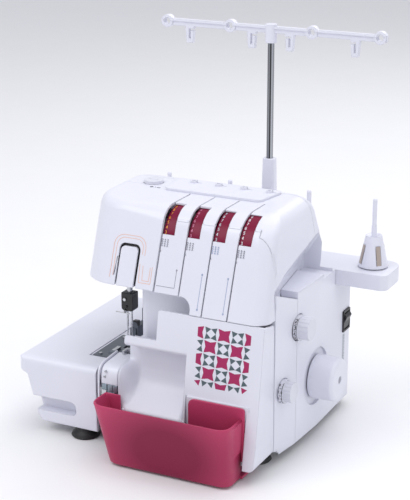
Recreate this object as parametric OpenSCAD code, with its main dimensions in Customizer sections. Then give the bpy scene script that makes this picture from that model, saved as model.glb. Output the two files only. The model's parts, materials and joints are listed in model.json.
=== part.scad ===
// Four-thread overlock sewing machine for the table top.
// Frame: +X to the sewer's right, +Y to the back, +Z up, origin on the table
// under the middle of the bounding box. All lengths are millimetres.

/* [Casing] */
// Wall thickness of the moulded casings
wall = 2.6; // [2:0.1:3.2]
// Gap left at the seams between casings
seam = 0.3; // [0.2:0.1:0.5]
// Height of the top of the head
head_top = 248.5; // [246:0.5:252]
// Height of the bed and of the needle plate
bed_top = 80; // [79:0.5:81]

/* [Thread tension] */
// Distance between neighbouring tension dials
dial_pitch = 27.3; // [26:0.1:28]
// Width of a tension dial
dial_width = 13.4; // [12:0.1:13.6]
// Radius of a tension dial
dial_radius = 36.4; // [35:0.1:36.6]

/* [Thread stand] */
// Height of the thread guide bar above the table
guide_bar_z = 403; // [390:1:410]
// Length of the thread guide bar
guide_bar_length = 250; // [246:1:254]
// Distance from the mast to the inner spool pins
inner_pin_x = 45.5; // [42:0.5:48]
// Distance from the mast to the outer spool pins
outer_pin_x = 118.3; // [112:0.1:119]

/* [Controls] */
// Radius of the handwheel
handwheel_radius = 23; // [20:0.5:24]
// Radius of the stitch length dial
length_dial_radius = 13; // [11:0.5:14]
// Radius of the differential feed dial
feed_dial_radius = 12; // [10:0.5:13]

/* [Feet] */
// Radius of a rubber foot
foot_radius = 15; // [12:0.5:16]
// Height of a rubber foot
foot_height = 10; // [9:0.5:10]

/* [Hidden] */

$fn = 72;
eps = 0.01;
frame_x = 1.75;

white = [0.90, 0.90, 0.95];
shade_white = [0.84, 0.84, 0.90];
crimson = [0.62, 0.10, 0.26];
steel = [0.70, 0.71, 0.74];
dark_steel = [0.36, 0.38, 0.42];
black = [0.10, 0.10, 0.11];
cast_grey = [0.55, 0.57, 0.60];

// Slope of the tension panel and of the front cover, forward shift per unit of height
panel_slope = 0.3605;
cover_slope = 0.17;
panel_bottom = 154.2;
panel_bottom_y = -80;
head_bottom = 170;
head_left = -104.5;
head_rear = 64;
head_rear_slope = 0.1886;
head_edge = 9;
side_round = 16;
rear_round = 14;
front_round = 38;
arm_split_x = -16.6;
front_split_z = 238;
dial_x = [for (i = [0 : 3]) -16.4 + i * dial_pitch];
dial_axis_y = -19.2;
dial_axis_z = 210.6;

shaft_y = 32;
shaft_z = 66;
lever_x = -56;
lever_z = 184;
motor_y = 92;
motor_z = 50;
needle_x = -70;
needle_y = -25;
knob_y = 29;
knife_x = -58;
hinge_y = -86;
hinge_z = 17;
mast_x = 26;
mast_y = 106;
side_split_y = -16;
shelf_z = 171;
shelf_back = 46;
ledge_z = 164;
ledge_rear_z = 166.5;
length_dial_y = -12.5;
length_dial_z = 133.6;
feed_dial_y = -41;
feed_dial_z = 76.5;
switch_x = 109.5;
switch_z = 100;
stand_bottom = 150;
stand_top = 166;
floor_gap = 10.5;
column_left = -42;

// ---------------------------------------------------------------- outlines
// An outline is a counter-clockwise list of corners [x, y, radius].

function unit(v) = v / norm(v);
function left_normal(a, b) = [a.y - b.y, b.x - a.x] / norm([b.x - a.x, b.y - a.y]);

function inset_corner(p, q, r, d) =
    let (
        n1 = left_normal(p, q),
        n2 = left_normal(q, r),
        turn = sign(cross(n1, n2)),
        k = d / (1 + n1 * n2)
    )
    [q.x + k * (n1.x + n2.x), q.y + k * (n1.y + n2.y), max(0, q[2] - d * turn)];

function inset(c, d) =
    let (n = len(c))
    [for (i = [0 : n - 1]) inset_corner(c[(i + n - 1) % n], c[i], c[(i + 1) % n], d)];

function corner_points(p, q, r) =
    let (
        a = unit([p.x - q.x, p.y - q.y]),
        b = unit([r.x - q.x, r.y - q.y]),
        corner = [q.x, q.y],
        half = acos(a * b) / 2,
        sweep = 180 - 2 * half,
        side = sign(cross(a, b)),
        centre = corner + q[2] / sin(half) * unit(a + b),
        start = corner + q[2] / tan(half) * a - centre,
        steps = max(1, ceil(sweep / 9))
    )
    q[2] < 0.05
        ? [corner]
        : [for (i = [0 : steps])
            let (t = -side * sweep * i / steps)
            centre + [start.x * cos(t) - start.y * sin(t), start.x * sin(t) + start.y * cos(t)]];

function rounded(c) =
    let (n = len(c))
    [for (i = [0 : n - 1]) each corner_points(c[(i + n - 1) % n], c[i], c[(i + 1) % n])];

module outline(corners, d = 0) polygon(rounded(inset(corners, d)));

// Extrusions: along_x takes an outline in (y, z), along_y in (x, z), along_z in (x, y)
module along_x(x0, x1) translate([x0, 0, 0]) rotate([90, 0, 90]) linear_extrude(x1 - x0) children();
module along_y(y0, y1) translate([0, y1, 0]) rotate([90, 0, 0]) linear_extrude(y1 - y0) children();
module along_z(z0, z1) translate([0, 0, z0]) linear_extrude(z1 - z0) children();

module box(low, high) translate(low) cube(high - low);
module bar_x(x0, x1, y, z, r) translate([x0, y, z]) rotate([0, 90, 0]) cylinder(h = x1 - x0, r = r);
module bar_y(y0, y1, x, z, r) translate([x, y0, z]) rotate([-90, 0, 0]) cylinder(h = y1 - y0, r = r);
module bar_z(z0, z1, x, y, r) translate([x, y, z0]) cylinder(h = z1 - z0, r = r);
module slab(x0, x1, y0, y1, z0, z1, r)
    along_z(z0, z1) outline([[x0, y0, r], [x1, y0, r], [x1, y1, r], [x0, y1, r]]);

// Puts a finished sub-part into the frame of the whole machine
module placed(c) color(c) translate([frame_x, 0, 0]) children();

function panel_y(z) = panel_bottom_y + (z - panel_bottom) * panel_slope;
function cover_y(z) = panel_bottom_y + (z - panel_bottom) * cover_slope;

// ---------------------------------------------------------------- head
head_side = [
    [panel_y(100), 100, 1], [92, 100, 1], [head_rear, head_top, 14], [panel_y(head_top), head_top, 38]
];
round_steps = [0, 30, 60, 90];

function rear_y(z) = head_rear + (head_top - z) * head_rear_slope;

// Plan of the left end at height z, with the large radius at the front
function left_end_plan(z) = [
    [head_left, panel_y(z), 40], [-60, panel_y(z), 0], [-60, rear_y(z), 0], [head_left, rear_y(z), 20]
];

function arc_drop(r, h) = h <= 0 ? 0 : r - sqrt(max(0, r * r - h * h));

// Front of the head at height z: leaning plane, then the large top radius
function front_y(z, d) =
    z - dial_axis_z < 12.8 * (front_round - d) / front_round
        ? panel_y(z) + 1.063 * d
        : dial_axis_y - sqrt(max(0, pow(front_round - d, 2) - pow(z - dial_axis_z, 2)));

function back_y(z, d) = rear_y(z) - d - arc_drop(rear_round - d, z - head_top + rear_round);

// Plan of the right end, leaning outwards towards the table at the front
function right_end_plan(z, d) =
    let (side = d + arc_drop(side_round - d, z - head_top + side_round), fall = head_top - z)
    [
        [60, front_y(z, d), 0], [100.3 + 0.075 * fall - side, front_y(z, d), 16 - d],
        [93.5 + 0.2 * min(fall, 52) - 0.15 * max(0, fall - 52) - side, back_y(z, d), 11 - d],
        [60, back_y(z, d), 0]
    ];
right_end_levels = [196.5, 223.4, 232.5, 239, 244, 247, 248.5];

// Hollow in the right side above the shelf
hollow_plan = [[103.6, -56, 2], [130, -56, 0], [130, 71, 0], [81, 69, 3], [95.5, -26, 10]];

module head_slice(z, inset_by) along_z(z - eps, z) outline(left_end_plan(z), inset_by);

module head_section(x, inset_by) along_x(x - eps, x) outline(head_side, inset_by);

module head_solid(d) {
    hull() {
        head_slice(100, d);
        for (a = round_steps)
            head_slice(head_top - head_edge + (head_edge - d) * sin(a), d + (head_edge - d) * (1 - cos(a)));
        head_section(arm_split_x, d);
        along_z(100 - eps, 100) outline(right_end_plan(100, d));
        for (level = right_end_levels) {
            z = level - max(0, d * (level - dial_axis_z) / front_round);
            along_z(z - eps, z) outline(right_end_plan(z, d));
        }
    }
}

module side_hollow(d) {
    hull() {
        along_z(100, 180) outline(hollow_plan, -d);
        translate([27 + d, 0, 0]) along_z(222, 223) outline(hollow_plan, -d);
    }
}

module head_form(d, z0) {
    difference() {
        head_solid(d);
        side_hollow(d);
        box([-120, -120, 0], [120, 120, z0]);
    }
}

module head_shell(z0) {
    difference() {
        head_form(0, z0);
        head_form(wall, z0 - 1);
    }
}

// Window of one tension dial with the thread slot above and below it
module dial_window(i) {
    x = dial_x[i];
    box([x, -75, 223.4], [x + 14, -27.8, 260]);
    box([x, -90, 100], [x + 1.3, 6, 260]);
    box([x, -90, 207], [x + 2.6, -60, 223.5]);
    bar_x(x, x + 14, dial_axis_y, dial_axis_z, dial_radius + 0.4);
}

face_floor_y = panel_y(head_bottom + 3);

module face_cover() placed(white) {
    difference() {
        union() {
            intersection() {
                head_shell(head_bottom);
                box([-110, -100, 150], [arm_split_x - seam, 20 - seam, 260]);
            }
            along_z(head_bottom, head_bottom + 2.2) outline([
                [head_left + 0.3, face_floor_y, 40], [arm_split_x - seam, face_floor_y, 0],
                [arm_split_x - seam, -30, 0], [head_left + 0.3, -30, 0]
            ]);
        }
        take_up_slot();
        bar_z(235, 260, needle_x, knob_y, 10.5);
        box([-81, needle_y - 9, 160], [-59, needle_y + 9, 180]);
        along_y(-100, -55) translate([-61.5, 188]) rotate(-6) square([1.3, 18], center = true);
    }
}

// Inverted U slot of the take-up lever, with the tongue left standing inside it
module take_up_slot() {
    along_y(-100, -50) difference() {
        outline([[-60, 160, 0], [-36.6, 160, 0], [-36.6, 210.4, 6], [-60, 210.4, 6]]);
        outline([[-58.2, 150, 0], [-39.4, 150, 0], [-39.4, 207.4, 4], [-58.2, 207.4, 4]]);
    }
}

// Hollow thread passage under the first dial, with a round upper right corner
module thread_passage() {
    along_y(-110, panel_y(170) + 16)
        outline([[-60, 140, 0], [26, 140, 0], [26, 169.4, 12], [12.6, 169.4, 0], [-60, 169.4, 0]]);
}

module front_panel() placed(white) {
    difference() {
        intersection() {
            difference() {
                head_form(0, panel_bottom);
                difference() {
                    head_form(wall, panel_bottom - 1);
                    along_y(-100, -58.5)
                        outline([[-16.3, 150, 0], [28.6, 150, 0], [28.6, 172, 14], [-16.3, 172, 0]]);
                }
            }
            union() {
                box([arm_split_x, -110, panel_bottom], [120, -56 - seam, front_split_z - seam]);
                box([arm_split_x, -110, head_bottom], [120, -50 - seam, front_split_z - seam]);
                box([arm_split_x, -110, head_bottom], [86, -24, front_split_z - seam]);
            }
        }
        intersection() {
            thread_passage();
            box([-60, -110, 100], [60, -61, 180]);
        }
        box([arm_split_x - 1, -62, 100], [100, -20, head_bottom]);
        for (i = [0 : 3]) dial_window(i);
    }
}

module top_cover() placed(white) {
    difference() {
        intersection() {
            head_shell(head_bottom);
            union() {
                box([arm_split_x, -110, front_split_z], [120, 50, 260]);
                box([arm_split_x, -50, head_bottom], [120, 50, 260]);
                box([-110, 20, head_bottom], [120, 50, 260]);
            }
        }
        box([arm_split_x - 1, -110, 100], [120, -50, front_split_z]);
        box([arm_split_x - 1, -110, 100], [86.3, -23.7, front_split_z]);
        for (i = [0 : 3]) dial_window(i);
        bar_z(235, 260, needle_x, knob_y, 10.5);
        box([8, 49, 100], [44, 60, 260]);
    }
}

module thread_guide_plate() placed(white) {
    difference() {
        union() {
            along_z(head_top, head_top + 2.4)
                outline([[-47, 8, 6], [60, 8, 6], [67, 49.5, 5], [-51, 49.5, 5]]);
            for (i = [0 : 3]) guide_ring(-28.5 + i * 28.3, 39);
        }
        for (i = [0 : 3]) translate([-28.5 + i * 28.3 + 2.6, 39, head_top + 1.2]) cube([5.6, 1.6, 6]);
    }
}

// Round thread eyelet with a slot to its right
module guide_ring(x, y) {
    translate([x, y, head_top + 2.4 - eps]) difference() {
        cylinder(h = 2.2, r = 3.6);
        translate([0, 0, -1]) cylinder(h = 5, r = 1.9);
    }
}

// ---------------------------------------------------------------- tension units
module tension_dial(i) placed(crimson) {
    x = dial_x[i] + 0.3;
    difference() {
        union() {
            bar_x(x, x + dial_width, dial_axis_y, dial_axis_z, dial_radius - 1.2);
            bar_x(x + 4.2, x + dial_width, dial_axis_y, dial_axis_z, dial_radius);
        }
        bar_x(x - 1, x + dial_width + 1, dial_axis_y, dial_axis_z, 4.05);
        bar_x(x - 1, x + 1.8, dial_axis_y, dial_axis_z, dial_radius - 6);
        bar_x(x + dial_width - 3, x + dial_width + 1, dial_axis_y, dial_axis_z, dial_radius - 6);
    }
}
module tension_dial_1() tension_dial(0);
module tension_dial_2() tension_dial(1);
module tension_dial_3() tension_dial(2);
module tension_dial_4() tension_dial(3);

module tension_rod() placed(steel) {
    bar_x(-16, 84, dial_axis_y, dial_axis_z, 4);
}

module tension_discs() placed(steel) {
    for (i = [0 : 3]) {
        x = dial_x[i] + dial_width + 2.2;
        for (k = [0 : 1]) translate([x + k * 2.4, dial_axis_y, dial_axis_z]) rotate([0, 90, 0]) difference() {
            cylinder(h = 1.2, r = 11);
            translate([0, 0, -1]) cylinder(h = 4, r = 4.02);
        }
    }
}

// ---------------------------------------------------------------- lower casing
lower_plan = [
    [column_left, -56, 10], [107, -56, 1], [112.4, -17, 60], [114.6, 35, 90], [113, 131, 8],
    [column_left, 131, 8]
];
lower_side = [
    [-56, floor_gap, 1], [131, floor_gap, 3], [131, stand_bottom - seam, 2],
    [78.5, stand_bottom - seam, 0], [78.5, head_bottom - seam, 1], [-56, head_bottom - seam, 1]
];

module lower_form(d) {
    intersection() {
        along_x(-100, 130) outline(lower_side, d);
        along_z(0, 200) outline(lower_plan, d);
    }
}

module lower_shell() {
    difference() {
        lower_form(0);
        intersection() {
            lower_form(wall);
            box([-100, -140, -1], [130, 140, 200]);
        }
        box([-90, -53.5, 0], [108, 126, 13.4]);
        slab(-39, 76, -52, 70, 160, 180, 3);
    }
}

// Side wall rising towards the front, in front of the shelf
module side_skirt() {
    intersection() {
        along_z(ledge_z - 5, 190) difference() {
            outline(lower_plan);
            outline(lower_plan, wall);
        }
        along_x(90, 130) polygon([
            [-56 + seam, ledge_z - 5], [side_split_y - seam, ledge_z - 5],
            [side_split_y - seam, ledge_z], [-56 + seam, ledge_z + 15]
        ]);
        union() {
            box([90, -60, 100], [130, 0, head_bottom - seam]);
            along_z(100, 200) outline(hollow_plan, seam);
        }
    }
}

// Floor of the hollow below the level of the head, closed towards the column
module sunk_floor(z, y0, y1) {
    intersection() {
        union() {
            along_z(z - wall, z) outline(lower_plan, 0.5);
            along_z(z - wall, head_bottom - seam) difference() {
                outline(hollow_plan, -wall);
                outline(hollow_plan);
            }
        }
        along_z(100, 200) outline(lower_plan, 0.5);
        box([74, y0, 100], [130, y1, 200]);
    }
}

module right_cover() placed(white) {
    difference() {
        union() {
            difference() {
                intersection() {
                    lower_shell();
                    box([72, -60, 0], [130, side_split_y - seam, 200]);
                }
                along_z(ledge_z, 180) outline(hollow_plan);
            }
            sunk_floor(ledge_z, -54, side_split_y - seam);
            side_skirt();
        }
        bar_x(100, 130, length_dial_y, length_dial_z, length_dial_radius + 0.8);
        bar_x(100, 130, feed_dial_y, feed_dial_z, 4.6);
        bar_x(108.6, 130, feed_dial_y, feed_dial_z, feed_dial_radius + 0.6);
        box([100, -70, 0], [112.5, -50, 16]);
    }
}

// Flat shelf with a front lip, beside the hollow of the head
module shelf() {
    intersection() {
        along_z(ledge_z, shelf_z) outline(lower_plan, 0.2);
        along_z(100, 200) outline(hollow_plan, seam);
        difference() {
            box([74, side_split_y, 100], [130, shelf_back, 200]);
            box([74, side_split_y + wall, 100], [109, shelf_back - wall, shelf_z - wall]);
        }
    }
}

module rear_cover() placed(white) {
    difference() {
        union() {
            difference() {
                intersection() {
                    lower_shell();
                    union() {
                        box([72, side_split_y, 0], [130, 140, 200]);
                        box([-100, 78, 0], [72.1, 140, 200]);
                    }
                }
                box([74, shelf_back, ledge_rear_z], [130, 100, 200]);
            }
            intersection() {
                head_shell(ledge_rear_z - eps);
                union() {
                    box([-110, 50 + seam, head_bottom], [120, 140, 260]);
                    box([78, 50 + seam, 150], [120, 140, 260]);
                }
            }
            sunk_floor(ledge_rear_z, shelf_back - wall, 78.5);
            shelf();
            bar_x(109.2, 111.9, shaft_y, shaft_z, handwheel_radius + 9);
        }
        bar_x(100, 130, shaft_y, shaft_z, 6);
        bar_x(111.8, 130, shaft_y, shaft_z, handwheel_radius + 7);
        bar_x(100, 130, length_dial_y, length_dial_z, length_dial_radius + 0.8);
        box([100, 103.2, 88.3], [130, 121.8, 111.7]);
        box([77.7, 116, 21.7], [104.3, 140, 46.3]);
        for (i = [0 : 5]) box([-20 + i * 9, 120, 60], [-16 + i * 9, 140, 110]);
        box([mast_x - 10, 60, 100], [mast_x + 10, 125, 260]);
    }
}

module column_cover() placed(shade_white) {
    difference() {
        intersection() {
            lower_shell();
            box([-60, -60, bed_top + seam], [72 - seam, 78 - seam, 200]);
        }
        bar_x(-60, 0, 0, 150, 3);
    }
}

module bed_arm() placed(white) {
    difference() {
        union() {
            slab(-103.5, -42, -51, 61, 46, bed_top - 0.4, 5);
            slab(-77.6, -42.3, 61, 131, floor_gap + 3, bed_top, 4);
            box([-77.6, -51, floor_gap + 3], [-42.3, 66, 50]);
        }
        box([-100.5, -48, 49], [-30, 58, bed_top - 3]);
        box([-74.5, -48, floor_gap + 2], [-30, 58, 60]);
        box([-74.5, 50, floor_gap + 2], [-30, 128, bed_top - 3]);
        box([-101.2, -50.2, bed_top - 3.2], [-61.6, 13.2, bed_top + 1]);
        box([-68, -60, 22], [-30, -40, 72]);
    }
}

module needle_plate() placed(dark_steel) {
    difference() {
        slab(-101, -61.8, -50, 13, bed_top - 2.8, bed_top + 0.2, 1.5);
        box([needle_x - 8, needle_y - 2, 70], [needle_x + 6, needle_y + 2.5, 90]);
        for (x = [-86, -80, -66]) box([x - 1.6, needle_y - 12, 70], [x + 1.6, needle_y + 22, 90]);
        bar_z(70, 90, -95, 6, 2);
        bar_z(70, 90, -95, -44, 2);
    }
}

module feed_dogs() placed(steel) {
    for (x = [-86, -80, -66]) {
        box([x - 1.1, needle_y - 8, 68], [x + 1.1, needle_y + 18, bed_top - 0.4]);
        for (i = [0 : 8]) translate([x - 1.1, needle_y - 8 + i * 2.8, bed_top - 0.4]) rotate([90, 0, 90])
            linear_extrude(2.2) polygon([[0, -eps], [2.2, -eps], [1.6, 0.9]]);
    }
    box([-87.1, needle_y + 4, 64], [-64.9, needle_y + 10, 68]);
}

module base_plate() placed(cast_grey) {
    difference() {
        union() {
            slab(-112, 100, -48, 124, floor_gap - 0.5, 13, 8);
            slab(-114, -79, -78.6, -40, floor_gap - 0.5, 13, 8);
            slab(-40, 100, -53, -40, floor_gap - 0.5, 13, 4);
            for (x = hinge_lug_x) {
                box([x, hinge_y - 4.5, floor_gap - 0.5], [x + 8, -50, floor_gap + 1.3]);
                box([x, hinge_y - 4.5, floor_gap], [x + 8, hinge_y + 4.5, hinge_z + 4]);
            }
        }
        for (x = hinge_lug_x) bar_x(x - 1, x + 9, hinge_y, hinge_z, 2.05);
    }
}

hinge_lug_x = [10, 50];
foot_places = [[-98, -72], [-98, 106], [84, -46], [84, 106]];

module rubber_feet() placed(black) {
    for (p = foot_places) translate([p.x, p.y, 0]) rotate_extrude()
        polygon([[0, 0], [foot_radius - 1, 0], [foot_radius, 1.2], [foot_radius - 1.5, 4],
            [foot_radius - 5, 7], [foot_radius - 6, foot_height - 0.05], [0, foot_height - 0.05]]);
}

// ---------------------------------------------------------------- inner frame and drive
module machine_frame() placed(cast_grey) {
    difference() {
        union() {
            frame_plate(-32);
            frame_plate(68);
            box([-34, 59, 13], [74, 64, 140]);
            box([-84, -32, 214], [-60, 40, 219]);
            box([-60.1, 5, 214], [-26, 40, 219]);
            box([-60, -26, 208], [-57, -12, 219]);
            bar_x(-57.1, -42, -19, 215, 2);
            box([-34, -12, 200], [-27, 66, 219]);
            box([-84, 34, 172.6], [-78, 40, 214.1]);
            box([-80, -32, 196], [-62, -6, 202]);
            box([-84, -32, 196], [-79.9, -6, 215]);
            box([-80, 5, 196], [-62, 40, 202]);
            box([-84, 5, 196], [-79.9, 40, 215]);
            bar_y(24, 48, lever_x, lever_z, 2);
            box([lever_x - 4, 22, lever_z - 4], [lever_x + 4, 26, 215]);
        }
        bar_x(-40, 80, shaft_y, shaft_z, 9);
        bar_z(190, 225, needle_x, needle_y, 3.04);
        bar_z(190, 225, needle_x, needle_y + 40, 3.04);
        bar_z(206, 225, needle_x, knob_y, 6.05);
    }
}

module frame_plate(x) {
    along_x(x, x + 6)
        outline([[10, 13, 2], [64, 13, 2], [64, 200, 2], [44, 205, 4], [22, 120, 20], [10, 90, 6]]);
}

module shaft_bushes() placed("darkgoldenrod") {
    for (x = [-34, 66]) difference() {
        union() {
            bar_x(x + 2, x + 8, shaft_y, shaft_z, 9);
            bar_x(x - 1, x + 2, shaft_y, shaft_z, 11);
        }
        bar_x(x - 3, x + 12, shaft_y, shaft_z, 5.04);
    }
}

module main_shaft() placed(steel) {
    bar_x(-44, 117, shaft_y, shaft_z, 5);
}

module driven_pulley() placed(black) {
    pulley(82, shaft_y, shaft_z, 24, 5);
}

module pulley(x, y, z, r, bore) {
    difference() {
        union() {
            bar_x(x, x + 1.5, y, z, r + 1.6);
            bar_x(x + 1.5 - eps, x + 8.5 + eps, y, z, r);
            bar_x(x + 8.5, x + 10, y, z, r + 1.6);
        }
        bar_x(x - 1, x + 11, y, z, bore);
    }
}

module drive_belt() placed(black) {
    along_x(84.2, 89.8) difference() {
        belt_loop(1.9);
        belt_loop(0.3);
    }
}

module belt_loop(gap) {
    hull() {
        translate([shaft_y, shaft_z]) circle(r = 24 + gap, $fn = 64);
        translate([motor_y, motor_z]) circle(r = 9 + gap, $fn = 48);
    }
}

module motor() placed(dark_steel) {
    difference() {
        union() {
            bar_x(-10, 60, motor_y, motor_z, 27);
            bar_x(60 - eps, 66, motor_y, motor_z, 12);
            box([-6, motor_y - 20, 13], [56, motor_y + 20, 30]);
        }
        bar_x(50, 70, motor_y, motor_z, 3.05);
        bar_x(-4, 54, motor_y, motor_z, 21);
    }
}

module motor_shaft() placed(steel) {
    bar_x(-2, 95, motor_y, motor_z, 3);
    bar_x(2, 48, motor_y, motor_z, 18);
}

module motor_pulley() placed(black) {
    pulley(82, motor_y, motor_z, 9, 3);
}

module handwheel() placed(white) {
    difference() {
        translate([113.4, shaft_y, shaft_z]) rotate([0, 90, 0]) rotate_extrude()
            polygon(rounded([
                [0, 0, 0], [handwheel_radius, 0, 1], [handwheel_radius - 0.6, 26.8, 4.5], [0, 26.8, 0]
            ]));
        bar_x(139, 142, shaft_y, shaft_z, 4);
        bar_x(110, 130, shaft_y, shaft_z, 5);
    }
}

// ---------------------------------------------------------------- stitch parts
module needle_bar() placed(steel) {
    bar_z(144, 240, needle_x, needle_y, 3);
}

module needle_clamp() placed(black) {
    difference() {
        slab(needle_x - 7, needle_x + 6.5, needle_y - 6, needle_y + 6, 126.5, 146, 2);
        bar_z(144, 150, needle_x, needle_y, 3);
        for (x = [-3, 2]) bar_z(120, 140.03, needle_x + x, needle_y, 1.03);
        bar_y(-40, needle_y - 4.97, needle_x - 2.5, 139, 1.63);
    }
}

module needles() placed(steel) {
    for (x = [-3, 2]) {
        bar_z(108, 140, needle_x + x, needle_y, 1);
        bar_z(97.5 + x * 0.3, 108 + eps, needle_x + x, needle_y, 0.55);
    }
    bar_y(needle_y - 7.5, needle_y - 5, needle_x - 2.5, 139, 1.6);
    box([needle_x - 12, needle_y - 9, 124.6], [needle_x + 4, needle_y - 8, 125.6]);
    box([needle_x - 3, needle_y - 9, 124.6], [needle_x - 2, needle_y - 6.02, 128.5]);
    box([needle_x - 3, needle_y - 8, 124.6], [needle_x - 2, needle_y, 125.6]);
}

module presser_bar() placed(steel) {
    bar_z(108, 236, needle_x, needle_y + 40, 3);
    box([needle_x - 4, needle_y + 36, 176], [needle_x + 4, needle_y + 44, 186]);
}

module presser_foot() placed(dark_steel) {
    difference() {
        union() {
            slab(needle_x - 5, needle_x + 5, needle_y + 33, needle_y + 46, 100, 116, 1.5);
            box([needle_x - 3.5, needle_y + 8, 92], [needle_x + 3.5, needle_y + 34, 104]);
            box([needle_x - 3.5, needle_y + 5.5, 84], [needle_x + 3.5, needle_y + 12, 104]);
            along_x(needle_x - 13, needle_x + 8) outline([
                [needle_y - 24, 84, 0.5], [needle_y - 18, 81, 3], [needle_y + 18, 81, 1],
                [needle_y + 18, 84, 1], [needle_y - 16, 84.4, 3], [needle_y - 23, 86.6, 0.5]
            ]);
        }
        bar_z(100, 130, needle_x, needle_y + 40, 3);
        box([needle_x - 7, needle_y - 3, 70], [needle_x + 5, needle_y + 3, 90]);
    }
}

module presser_lever() placed(white) {
    difference() {
        union() {
            bar_y(30, 58, lever_x, lever_z, 5);
            box([lever_x - 4, 58 - eps, lever_z - 30], [lever_x + 4, 63, lever_z + 5]);
            slab(lever_x - 7, lever_x + 7, 55, 67, lever_z - 42, lever_z - 29.9, 4);
        }
        bar_y(29, 50, lever_x, lever_z, 2.05);
    }
}

module pressure_knob() placed(shade_white) {
    difference() {
        union() {
            bar_z(head_top - 8, head_top + 3.4, needle_x, knob_y, 10);
            bar_z(207, head_top - 7.9, needle_x, knob_y, 6);
        }
        box([needle_x - 6, knob_y - 0.8, head_top + 2.2], [needle_x + 6, knob_y + 0.8, head_top + 4]);
    }
}

module take_up_lever() placed(steel) {
    difference() {
        union() {
            along_x(-50, -47.5) outline([
                [-44, 198, 3], [-30, 196, 2], [-14, 214, 3], [-20, 222, 3], [-42, 206, 2]
            ]);
            bar_x(-54, -44, -19, 215, 4.5);
        }
        bar_x(-60, -40, -19, 215, 2.05);
        bar_x(-55, -40, -40, 201, 1.5);
    }
}

module looper(x0, z0, reach, height) {
    translate([x0, 0, z0]) difference() {
        union() {
            along_y(-45, -41) outline([
                [-5, -3, 2], [5, -3, 2], [4, height, 5], [reach, height + 3, 0], [-3, height - 5, 3]
            ]);
            bar_y(-46, -36, 0, 0, 6);
        }
        bar_y(-60, -30, 0, 0, 2.55);
    }
}

module upper_looper() placed(steel) {
    looper(-50, 30, -16, 34);
}

module lower_looper() placed(steel) {
    translate([0, 12, 0]) looper(-56, 34, -18, 26);
}

module upper_knife() placed(steel) {
    difference() {
        union() {
            box([knife_x - 1, -62, 80.6], [knife_x + 1.4, -51.6, 96]);
            box([knife_x + 1.3, -56, 88], [knife_x + 12, -46, 96]);
        }
        translate([knife_x - 3, -62, 80.6]) rotate([-14, 0, 0]) translate([0, -10, -10]) cube([8, 10, 20]);
        bar_x(knife_x + 4, knife_x + 14, -51, 92, 1.6);
    }
}

module lower_knife() placed(steel) {
    box([knife_x - 3.6, -62, 62], [knife_x - 1.3, -51.3, 79.6]);
    slab(-64, -58.5, -96, -93.4, 44.5, 66, 0.6);
    slab(-57, -50, -96.6, -93.4, 44.5, 64, 0.6);
}

guard_side = [[-93.3, 44, 1], [-56, 44, 1], [-56, 94, 2], [-80, 93.4, 12], [-93.3, 91, 9], [-93.3, 66, 0]];

module knife_guard() placed(white) {
    difference() {
        intersection() {
            along_x(-65.5, -40.4) outline(guard_side);
            along_z(0, 200) outline([[-65.5, -93.3, 2], [-40.4, -93.3, 12], [-40.4, -40, 2], [-65.5, -40, 2]]);
        }
        intersection() {
            along_x(-80, -43) outline(guard_side, wall);
            along_z(0, 200) outline([[-90, -90.7, 2], [-43, -90.7, 10], [-43, -40, 2], [-90, -40, 2]]);
        }
        box([-70, -66, 40], [-43.6, -40, 120]);
    }
    difference() {
        slab(-64.5, -46.5, -95.5, -91, 68, 90, 2);
        bar_y(-97, -94, -58, 84, 1.3);
        bar_y(-97, -94, -57.5, 79, 1.3);
    }
}

// ---------------------------------------------------------------- front cover
cover_left = -40;
cover_right = 107;

// Flat outline of the cover seen from the front, with the cut-out by the needles
cover_front = [
    [cover_left, 14, 2], [cover_right, 14, 6], [106.3, panel_bottom - 0.6, 2], [-7.5, panel_bottom - 0.6, 2],
    [-7.5, 123.5, 2], [cover_left - 2.5, 123.5, 2], [cover_left - 2.5, 113, 2], [cover_left, 113, 0]
];
cover_plan = [[-60, -110, 0], [cover_right, -110, 12], [cover_right, -58, 0], [-60, -58, 0]];

module cover_plane(shift, thick) {
    along_x(-60, 120) polygon([
        [cover_y(8) + shift, 8], [cover_y(8) + shift + thick, 8],
        [cover_y(160) + shift + thick, 160], [cover_y(160) + shift, 160]
    ]);
}

module front_cover() placed(white) {
    difference() {
        union() {
            intersection() {
                along_y(-130, -40) outline(cover_front);
                union() {
                    difference() {
                        intersection() {
                            cover_plane(0, wall);
                            along_z(0, 200) outline(cover_plan);
                        }
                        box([cover_left - 5, -130, 40], [scoop_right - wall, -40, 118]);
                        box([cover_left - 5, -130, 0], [94.4, -40, 76]);
                    }
                    cover_corner();
                    scoop();
                    trim_pocket();
                }
            }
            for (x = [-30, 84]) cover_knuckle(x);
        }
        for (x = [-30, 84]) bar_x(x - 1, x + 13, hinge_y, hinge_z, 2.05);
    }
}

// Right front corner and return wall of the cover
module cover_corner() {
    intersection() {
        difference() {
            along_z(0, 200) outline(cover_plan);
            along_z(0, 200) outline(cover_plan, wall);
        }
        along_x(96, 120) polygon([
            [cover_y(8), 8], [-58, 8], [-58, 148], [-61, 150.8], [-78, 153.4], [-78, 160], [cover_y(160), 160]
        ]);
    }
}

// Concave chute that leads the cut-off fabric into the bin
scoop_side = [
    [-98, 47.5, 1], [-94.5, 47.5, 1], [-66, 74, 30], [-63, 110, 1], [-63, 116, 1], [-68, 116, 1],
    [-68.5, 76, 30], [-98, 50.2, 1]
];

scoop_right = 29.2;

module scoop() {
    along_x(cover_left, scoop_right) outline(scoop_side);
    along_x(scoop_right - wall, scoop_right) outline([
        [-98, 47.5, 1], [-64, 72, 30], [-63, 116, 1], [cover_y(116), 116, 1], [cover_y(70), 70, 1]
    ]);
    along_x(cover_left - 2.5, scoop_right) outline([
        [cover_y(118), 118, 0], [cover_y(113), 113, 4], [-63, 113, 1], [-63, 116, 1],
        [cover_y(118) + wall, 116, 1], [cover_y(118) + wall, 118, 0]
    ]);
}

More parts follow.
